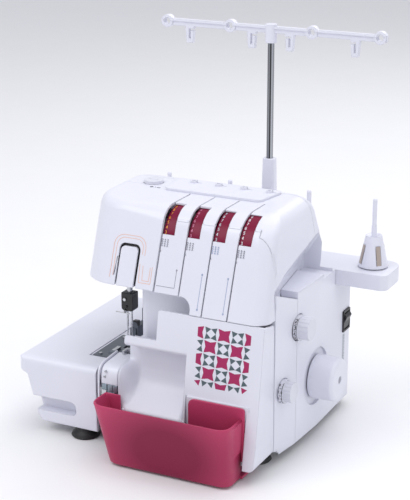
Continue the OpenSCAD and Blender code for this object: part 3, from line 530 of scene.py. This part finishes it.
def make_control_numbers():
    """Printed scales round the two setting dials on the right side."""
    # Each dial's rim is width wide, and its numbers stand step degrees apart
    for name, node, body, values, step, width in (
        ("length_scale", "stitch_length_dial", "length_control", ["2", "3", "4", "5", "1"], 30, 15),
        ("feed_scale", "differential_dial", "feed_control", ["0.7", "1.0", "1.5", "2.0"], 34, 12),
    ):
        low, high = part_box(node)
        x0 = high.x / MM - SHIFT_X / MM - width
        y0 = (low.y + high.y) / 2 / MM
        z0 = (low.z + high.z) / 2 / MM
        radius = (high.z - low.z) / 2 / MM
        marks = []
        for k, text in enumerate(values):
            angle = 48 - k * step
            height, weight = (3.8, 0.75) if len(text) == 1 else (2.0, 0.5)
            marks += lettering(text, 2.0, 0, height, weight, drum(x0, y0, z0, radius, angle))
            tick = ribbon([(0.9, 0), (3.2, 0)], 0.45)
            marks.append((tick, drum(x0, y0, z0, radius, angle - step / 2)))
        for k in range(26):
            dash = ribbon([(3.75, -0.6), (3.75, 0.6)], 0.5)
            marks.append((dash, drum(x0, y0, z0, radius, 60 - k * 6)))
        ink(name, marks, INK_DARK, body)


def make_side_label():
    """Narrow rating label below the switch, with unreadable fine print."""
    side = 113.25
    plate = [(104.5, 54), (111.5, 54), (111.5, 86), (104.5, 86)]
    ink("rating_label", [(plate, side_place(side))], INK_PALE, "machine", 0.2)
    marks = []
    for row in range(22):
        z = 56 + row * 1.35
        end = 110.6 - (row * 7 % 5) * 0.5
        marks.append((ribbon([(105.4, z), (end, z)], 0.5), side_place(side + 0.2)))
    ink("rating_print", marks, INK_GREY, "machine")


def make_knob_marks():
    """Plus, dot and minus on the head in front of the pressure knob."""
    low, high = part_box("pressure_knob")
    x0 = (low.x + high.x) / 2 / MM - SHIFT_X / MM
    y0, weight = 12.5, 1.1
    top = level(248.55)
    marks = line_marks([(x0 + 4.5, y0), (x0 + 8.5, y0)], weight, top)
    marks += line_marks([(x0 + 6.5, y0 - 2), (x0 + 6.5, y0 + 2)], weight, top)
    marks += line_marks([(x0 + 12.5, y0), (x0 + 16.5, y0)], weight, top)
    marks.append((dot(x0 + 10.5, 13.2, 0.7), top))
    ink("pressure_marks", marks, INK_DARK, "machine")


make_quilt()
make_thread_lines()
make_stitch_signs()
make_tension_numbers()
make_control_numbers()
make_side_label()
make_knob_marks()


# ------------------------------------------------------------------ chute and knife guard

def add_mesh(name, vertices, faces, material, body):
    """Smooth-shaded piece with its faces turned outwards."""
    mesh = bpy.data.meshes.new(name)
    mesh.from_pydata(vertices, [], faces)
    mesh.materials.append(material)
    bm = bmesh.new()
    bm.from_mesh(mesh)
    bmesh.ops.recalc_face_normals(bm, faces=bm.faces)
    bm.to_mesh(mesh)
    bm.free()
    for polygon in mesh.polygons:
        polygon.use_smooth = True
    obj = bpy.data.objects.new(name, mesh)
    bpy.context.scene.collection.objects.link(obj)
    return bodied(obj, body)


def spaced(points, count):
    """Points at even distances along a polyline."""
    path = [Vector(p) for p in points]
    reach = [0.0]
    for a, b in zip(path, path[1:]):
        reach.append(reach[-1] + (b - a).length)
    result = []
    k = 0
    for n in range(count):
        s = reach[-1] * n / (count - 1)
        while k < len(path) - 2 and reach[k + 1] < s:
            k += 1
        result.append(path[k].lerp(path[k + 1], (s - reach[k]) / (reach[k + 1] - reach[k])))
    return result


def corner_curve(before, here, after, radius, steps):
    """Points of the curve that rounds one corner of a line, from radius before it to radius after."""
    start = here + (before - here).normalized() * radius
    end = here + (after - here).normalized() * radius
    shares = [n / steps for n in range(steps + 1)]
    return [start.lerp(here, t).lerp(here.lerp(end, t), t) for t in shares]


def bent(points, radii):
    """Polyline with each of its inner corners rounded."""
    path = [Vector(p) for p in points]
    result = [path[0]]
    for k, radius in enumerate(radii, 1):
        result += corner_curve(path[k - 1], path[k], path[k + 1], radius, 8)
    return result + [path[-1]]


def rounded_plan(corners, radii):
    """Closed outline with its corners rounded; a corner of no radius stays a single point."""
    path = [Vector(p) for p in corners]
    result = []
    for k, radius in enumerate(radii):
        if radius == 0:
            result.append(path[k])
        else:
            result += corner_curve(path[k - 1], path[k], path[(k + 1) % len(path)], radius, 7)
    return result


def grid_faces(rows, columns, closed=False):
    """Faces between rows of points; closed joins each row's last point to its first."""
    faces = []
    for i in range(rows - 1):
        for j in range(columns if closed else columns - 1):
            n = (j + 1) % columns
            faces.append([i * columns + j, i * columns + n, (i + 1) * columns + n, (i + 1) * columns + j])
    return faces


def smooth_step(t):
    """Eases from 0 to 1."""
    t = min(1, max(0, t))
    return t * t * (3 - 2 * t)


def make_chute():
    """Skin of the chute: a concave sheet whose left edge rolls forward beside the knife guard."""
    count = 44
    left, roll = -45.4, 12.9
    inner, width = -31, 57.6
    # Sections in (y, z): the open sheet, and the flank at its left edge
    top = (-68.5, 113)
    sheet = spaced(bent([top, (-68.9, 75.8), (-97.6, 50.9), (-98.6, 48.4)], [14, 1.2]), count)
    flank = spaced(bent([top, (-68.9, 92.3), (-94.9, 90.6), (-95, 49)], [5, 10]), count)
    stations = [left + roll * k / 20 for k in range(21)] + [inner + width * k / 12 for k in range(13)]
    vertices = []
    for x in stations:
        share = 1 - smooth_step((x - left) / roll) ** 0.8
        for a, b in zip(sheet, flank):
            y, z = a.lerp(b, share)
            vertices.append(at(x, y, z))
    faces = grid_faces(len(stations), count)
    skin = add_mesh("chute_skin", vertices, faces, WHITE, "cover")
    solid = skin.modifiers.new("Thickness", "SOLIDIFY")
    solid.thickness = 1.2 * MM
    solid.offset = 0


def loft(name, profile, stations, material, body):
    """Closed solid: an outline in (y, z) swept along x, drawn in by each station's inset."""
    middle = sum((Vector(p) for p in profile), Vector((0, 0))) / len(profile)
    vertices = []
    for x, inset in stations:
        for p in profile:
            away = Vector(p) - middle
            y, z = middle + away * (1 - inset / away.length)
            vertices.append(at(x, y, z))
    count = len(profile)
    faces = grid_faces(len(stations), count, closed=True)
    faces.append(list(range(count)))
    faces.append(list(range((len(stations) - 1) * count, len(stations) * count)))
    return add_mesh(name, vertices, faces, material, body)


def ends(x0, x1, radius):
    """Stations (x, inset) of a sweep from x0 to x1 with both ends rounded."""
    steps = 5
    stations = []
    for k in range(steps + 1):
        a = math.pi / 2 * k / steps
        stations.append((x0 + radius * (1 - math.cos(a)), radius * (1 - math.sin(a))))
    return stations + [(x1 - (x - x0), inset) for x, inset in reversed(stations)]


def front_screw(name, place, radius, material, body, heights=(0.9, 1.2), taper=0.75, steps=20):
    """Round screw head that faces the front, with a chamfered face; heights stand proud of its seat."""
    x, y, z = place
    ring = dot(x, z, radius, steps)
    face = dot(x, z, radius * taper, steps)
    side, front = heights
    vertices = [at(u, y, v) for u, v in ring] + [at(u, y - side, v) for u, v in ring]
    vertices += [at(u, y - front, v) for u, v in face]
    faces = grid_faces(3, steps, closed=True)
    faces += [list(range(steps)), list(range(2 * steps, 3 * steps))]
    add_mesh(name, vertices, faces, material, body)


def make_guard():
    """Knife guard: thumb plate with the rim behind it, three posts below and two screws."""
    outline = bent([(-57, 76), (-57, 92.2), (-94.6, 90.4), (-94.6, 70.5), (-88, 70.5), (-80, 76),
                    (-57, 76.01)], [1.5, 11.5, 3, 3, 4])[:-1]
    thumb = loft("guard_thumb", outline, ends(-65.4, -46.2, 1.6), WHITE, "machine")
    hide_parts("knife_guard")
    rim = bent([(-57, 77), (-57, 93.4), (-96.2, 91.6), (-96.2, 50), (-95, 50), (-95, 74), (-80, 78),
                (-57, 77.01)], [1, 13, 0.4, 0.4, 3, 3])[:-1]
    loft("guard_rim", rim, ends(-68.4, -66.4, 0.5), WHITE, "machine")
    post = bent([(-92.6, 47), (-92.6, 72), (-95.2, 72), (-95.2, 47), (-92.6, 46.99)], [0.5, 0.5, 0.5])[:-1]
    for name, x0, x1 in (("outer", -64.2, -58.6), ("middle", -57.6, -52.2), ("inner", -51.6, -46.8)):
        loft(f"knife_post_{name}", post, ends(x0, x1, 0.6), POST, "machine")
    seat, heights = -94.0, (1.4, 1.8)
    # Each screw's slot is a flat dark mark: painted shade for the slot's depth
    screw_slot_shade = [(-0.75, -0.16), (0.75, -0.16), (0.75, 0.16), (-0.75, 0.16)]
    for name, x, z in (("upper", -59.5, 85.5), ("lower", -60.5, 80)):
        place = (x, seat, z)
        front_screw(f"guard_screw_{name}", place, 1.25, STEEL, "machine", heights, 0.7, 16)
        slot_shade_mark = [(screw_slot_shade, front_place(x, seat - heights[1], z))]
        ink(f"guard_screw_slot_shade_{name}", slot_shade_mark, INK_DARK, "machine", 0.05)


make_chute()
make_guard()


# ------------------------------------------------------------------ trim bin

def clear_crimson():
    """Frosted bin plastic with painted glow and shade: its colour is painted deeper in the middle of the
    front wall and lighter towards rim and ends, in place of light passing through the plastic.
    """
    mat, tree, shader = new_material("bin_plastic")
    # Centre and reach of the painted glow's spherical falloff
    middle = at(25, -128, 27)
    reach = (0.088, 0.042, 0.062)
    mapping = add_node(tree, "ShaderNodeMapping")
    mapping.inputs["Scale"].default_value = [1 / r for r in reach]
    mapping.inputs["Location"].default_value = [-m / r for m, r in zip(middle, reach)]
    tree.links.new(object_coords(tree), mapping.inputs["Vector"])
    painted_glow_falloff = add_node(tree, "ShaderNodeTexGradient", {"gradient_type": "SPHERICAL"})
    tree.links.new(mapping.outputs[0], painted_glow_falloff.inputs["Vector"])
    # Painted light: the lighter colour towards rim and ends, the deeper one in the middle
    light, painted_deep = (0.50, 0.052, 0.135), (0.215, 0.010, 0.048)
    tone = ramp(tree, painted_glow_falloff.outputs["Fac"], [(0.0, light), (0.62, painted_deep)])
    tree.links.new(tone, shader.inputs["Base Color"])
    tree.links.new(spread(tree, noise(tree, 45), 0.28, 0.40), shader.inputs["Roughness"])
    bump(tree, noise(tree, 1800, 2.0), shader, 0.1, 0.00001)
    shader.inputs["Specular IOR Level"].default_value = 0.28
    return mat


BIN = clear_crimson()
# Heights of the bin's floor and rim
BIN_FLOOR, BIN_RIM = 4, 65
# Heights of its rear wall under the chute and behind the panel
BIN_SILL, BIN_LOW = 44.3, 24
# Depth of the outside of the rear wall, and how thick the walls are
BIN_BACK = -97.2
BIN_WALL = 1.8


def bin_ring(share, inset, drop):
    """One level of the bin wall: share runs from the floor (0) to the rim (1); drop lowers it, in mm.

    Both ends and the front lean outwards, and the rear wall is cut low under the chute and the panel.
    """
    left = -45.2 - 13.6 * share + inset
    front = -124.4 - 6.2 * share + inset
    right = 90.2 + 0.6 * share - inset
    back = BIN_BACK - inset
    corners = [
        (left, front, BIN_RIM), (right, front, BIN_RIM), (right, back, BIN_RIM),
        (right - 0.3, back, BIN_LOW), (33.6, back, BIN_LOW), (33.2, back, BIN_SILL),
        (-41, back, BIN_SILL), (-41.6, back, BIN_RIM), (left, back, BIN_RIM),
    ]
    points = rounded_plan(corners, [15, 12, 0, 0, 0, 0, 0, 0, 2])
    return [at(x, y, BIN_FLOOR + (top - BIN_FLOOR) * share - drop) for x, y, top in points]


def plate_solid(outline, y0, y1):
    """Vertices and faces of an upright plate: an outline in (x, z) between two depths."""
    count = len(outline)
    vertices = [at(x, y0, z) for x, z in outline] + [at(x, y1, z) for x, z in outline]
    faces = [list(range(count)), list(range(count, 2 * count))]
    faces += [[k, (k + 1) % count, count + (k + 1) % count, count + k] for k in range(count)]
    return vertices, faces


def make_bin():
    """Bin as a cup with a rounded rim, the panel at its rear and the tongue that couples it."""
    steps = 12
    # (share, inset, drop): under the floor, up the outside, over the rim, down the inside, the floor
    levels = [(0, 12, 2), (0, 3, 2), (0, 1.2, 1.7), (0, 0.3, 1), (0, 0, 0)]
    levels += [(k / steps, 0, 0) for k in range(1, steps)]
    levels += [(1, 0, 0.9), (1, 0.25, 0.25), (1, 0.9, 0), (1, 1.55, 0.25), (1, BIN_WALL, 0.9)]
    levels += [(k / steps, BIN_WALL, 0) for k in range(steps - 1, 0, -1)]
    levels += [(0, 2.2, -1), (0, 4, -2), (0, 12, -2)]
    vertices = []
    for share, inset, drop in levels:
        vertices += bin_ring(share, inset, drop)
    count = len(vertices) // len(levels)
    faces = grid_faces(len(levels), count, closed=True)
    faces.append(list(range(count)))
    faces.append(list(range((len(levels) - 1) * count, len(levels) * count)))
    cup = add_mesh("bin_cup", vertices, faces, BIN, "bin")
    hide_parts("trim_bin")
    panel = rounded_plan([(33.2, 20), (93.6, 20), (93.6, 75.4), (33.2, 75.4)], [0, 0, 4, 8])
    vertices, faces = plate_solid(panel, -97.15, -95)
    plate = add_mesh("bin_panel", vertices, faces, BIN, "bin")
    soften(plate, 0.6 * MM)
    vertices, faces = plate_solid([(-40, 2), (92, 2), (92, 4.6), (-40, 4.6)], -97.3, -68)
    coupling = add_mesh("bin_coupling", vertices, faces, BIN, "bin")
    soften(coupling, 0.4 * MM)


make_bin()


# ------------------------------------------------------------------ small fittings

def add_box(name, low, high, material, body, round_off=0.4):
    """Upright box between two corners, with rounded edges."""
    (x0, y0, z0), (x1, y1, z1) = low, high
    vertices, faces = plate_solid([(x0, z0), (x1, z0), (x1, z1), (x0, z1)], y0, y1)
    obj = add_mesh(name, vertices, faces, material, body)
    soften(obj, round_off * MM)


def make_foot_details():
    """Shank, latch, screw and toe guide of the presser foot, and the lower screw of the clamp."""
    outline = rounded_plan([(-73.2, 90), (-64.8, 90), (-64.2, 104), (-66, 110.5), (-73.5, 110.5)],
                           [1, 1.5, 2, 3, 1])
    vertices, faces = plate_solid(outline, -18.3, -13)
    shank = add_mesh("foot_shank", vertices, faces, DARK_STEEL, "presser_group")
    soften(shank, 0.5 * MM)
    low, high = (-70.5, -18.2, 106.5), (-64.6, -13.4, 112)
    add_box("foot_latch", low, high, BLACK_METAL, "presser_group")
    place = (-71.6, -18.3, 97.5)
    front_screw("foot_screw", place, 1.7, BLACK_METAL, "presser_group")
    low, high = (-82.2, -43, 84.6), (-77.8, -31, 86.4)
    add_box("foot_toe", low, high, STEEL, "presser_group", 0.3)
    place = (-70.8, -30.9, 131.5)
    front_screw("clamp_screw_lower", place, 1.3, BLACK_METAL, "needle_group")


def surface(*names):
    """Search tree over the faces of some CAD nodes."""
    points, polygons = [], []
    for name in names:
        node = frame["nodes"][name]
        first = len(points)
        points += [node.matrix_world @ vertex.co for vertex in node.data.vertices]
        polygons += [[first + k for k in polygon.vertices] for polygon in node.data.polygons]
    return BVHTree.FromPolygons(points, polygons)


def bridge(name, one, other, starts, towards, jump=2.5):
    """Thin strip over a joint line, laid on the surfaces either side of it where rays meet both.

    It stops wherever the two hits lie more than jump millimetres apart along the rays.
    """
    proud = towards * -0.07 * MM
    buried = towards * 0.5 * MM
    runs = [[]]
    for a, b in starts:
        first = one.ray_cast(a, towards)[0]
        second = other.ray_cast(b, towards)[0]
        if first is None or second is None or abs((first - second).dot(towards)) > jump * MM:
            runs.append([])
        else:
            runs[-1].append((first, second))
    vertices, faces = [], []
    for run in runs:
        if len(run) < 4:
            continue
        start = len(vertices)
        for first, second in run[1:-1]:
            vertices += [first + proud, second + proud, second + buried, first + buried]
        rows = len(run) - 2
        faces += [[start + i for i in face] for face in grid_faces(rows, 4, closed=True)]
        faces += [[start + i for i in range(4)], [start + (rows - 1) * 4 + i for i in range(4)]]
    if vertices:
        strip = add_mesh(name, vertices, faces, WHITE, "machine")
        for polygon in strip.data.polygons:
            polygon.use_smooth = False


def make_seam_bridges():
    """Covers the joint line round the front panel, so that the head reads as one moulding."""
    panel = surface("front_panel")
    behind = surface("top_cover", "rear_cover", "right_cover")
    # Rays just either side of the joint: at the front by height, on the right side by depth
    below, above = 236.7, 238.9
    columns = [-30 + k * 0.4 for k in range(360)]
    front = [(at(x, -200, below), at(x, -200, above)) for x in columns]
    bridge("panel_bridge_front", panel, behind, front, Vector((0, 1, 0)), 7)
    before, past = -51.7, -48.6
    side = [(at(200, before, 162 + k), at(200, past, 162 + k)) for k in range(75)]
    bridge("panel_bridge_side", panel, behind, side, Vector((-1, 0, 0)))


# Cone holder: place of its axis, height of its foot, its own height, foot radius and taper
CONE_X, CONE_Y = 144.3, 106
CONE_FOOT, CONE_HEIGHT = 167.2, 32.6
CONE_RADIUS, CONE_TAPER = 15.5, 7


def cone_place(turn):
    """Maps (u, z, lift) onto the cone holder's flank at the given turn round its axis."""
    side = Vector((math.cos(turn), math.sin(turn)))

    def place(u, z, lift):
        radius = CONE_RADIUS - CONE_TAPER * (z - CONE_FOOT) / CONE_HEIGHT + lift
        return at(CONE_X + side.x * radius - side.y * u, CONE_Y + side.y * radius + side.x * u, z)
    return place


def make_cone_windows():
    """Inner sleeve of the cone holder, seen as a taupe strip in each of its windows."""
    low, high = CONE_FOOT + 3.5, CONE_FOOT + 23
    strip = [(-2.5, low), (2.5, low), (2.3, high), (-2.3, high)]
    marks = [(strip, cone_place(math.radians(45 + 90 * k))) for k in range(4)]
    ink("cone_windows", marks, TAUPE, "machine", 0.06)


def make_clamp():
    """Needle clamp with its lower corners rounded off."""
    outline = rounded_plan([(-77, 126.5), (-63.5, 126.5), (-63.5, 146), (-77, 146)], [4, 3, 1, 1])
    vertices, faces = plate_solid(outline, -31, -19)
    clamp = add_mesh("clamp_block", vertices, faces, BLACK_METAL, "needle_group")
    soften(clamp, 0.8 * MM)
    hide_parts("needle_clamp")


def behind_panel(x, z, lift):
    """Maps (x, z, lift) onto a plane behind the tension panel's wall."""
    return on_panel(x, z, lift - 3.4)


def make_slot_backing():
    """Black sheet behind the take-up slot: painted shade, so the slot reads dark all along."""
    outline = [(-61.5, 172), (-35.2, 172), (-35.2, 212), (-61.5, 212)]
    ink("take_up_slot_shade", [(outline, behind_panel)], BLACK, "machine")


def make_hub_cap():
    """Cap of the handwheel screw, deep in its recess."""
    cap = [(dot(32, 66, 3.7, 20), side_place(139.2))]
    ink("hub_cap", cap, INK_GREY, "drive_shaft", 0.3)


make_foot_details()
make_seam_bridges()
make_cone_windows()
make_hub_cap()
make_clamp()
make_slot_backing()


# ------------------------------------------------------------------ stage

FLOOR_SIZE = 6.0
FLOOR_DROP = 0.0002


def make_floor():
    """Plain pale floor, a hair below the feet."""
    bpy.ops.mesh.primitive_plane_add(size=FLOOR_SIZE, location=(0, 0, -FLOOR_DROP))
    floor = bpy.context.object
    floor.name = "floor"
    floor.data.materials.append(moulded("floor_paper", (0.86, 0.86, 0.87), rough=0.7, variation=0.01))


def area_light(name, place, target, size, power):
    """Square lamp at a place, aimed at a target."""
    light = bpy.data.lights.new(name, "AREA")
    light.size = size
    light.energy = power
    obj = bpy.data.objects.new(name, light)
    obj.location = place
    obj.rotation_euler = (Vector(target) - Vector(place)).to_track_quat("-Z", "Y").to_euler()
    bpy.context.scene.collection.objects.link(obj)


def make_lights():
    """Soft studio light: an even pale surround and four large lamps."""
    world = bpy.data.worlds.new("studio")
    bpy.context.scene.world = world
    world.use_nodes = True
    surround = world.node_tree.nodes["Background"]
    surround.inputs["Color"].default_value = (0.93, 0.94, 1.0, 1)
    surround.inputs["Strength"].default_value = 0.72
    for name, place, aim, size, power in (
        ("key", (-0.8, -1.2, 1.7), 0.15, 1.2, 13),
        ("fill", (1.5, -0.5, 1.1), 0.15, 1.4, 3.5),
        ("top", (0.35, 0.3, 1.9), 0.2, 1.6, 10.5),
        ("back", (0.2, 1.5, 1.5), 0.2, 1.2, 8),
    ):
        area_light(name, place, (0, 0, aim), size, power)


def make_camera():
    """Camera in front and to the right, above the machine."""
    cam = bpy.data.cameras.new("camera")
    cam.lens = 109.3
    cam.clip_start = 0.05
    obj = bpy.data.objects.new("camera", cam)
    backwards = Vector((0.4246, -0.8516, 0.3074))
    obj.location = at(652.2, -1301.2, 663.6)
    obj.rotation_euler = backwards.to_track_quat("Z", "Y").to_euler()
    bpy.context.scene.collection.objects.link(obj)
    bpy.context.scene.camera = obj


make_floor()
make_lights()
make_camera()
bpy.context.scene.view_settings.view_transform = "Standard"
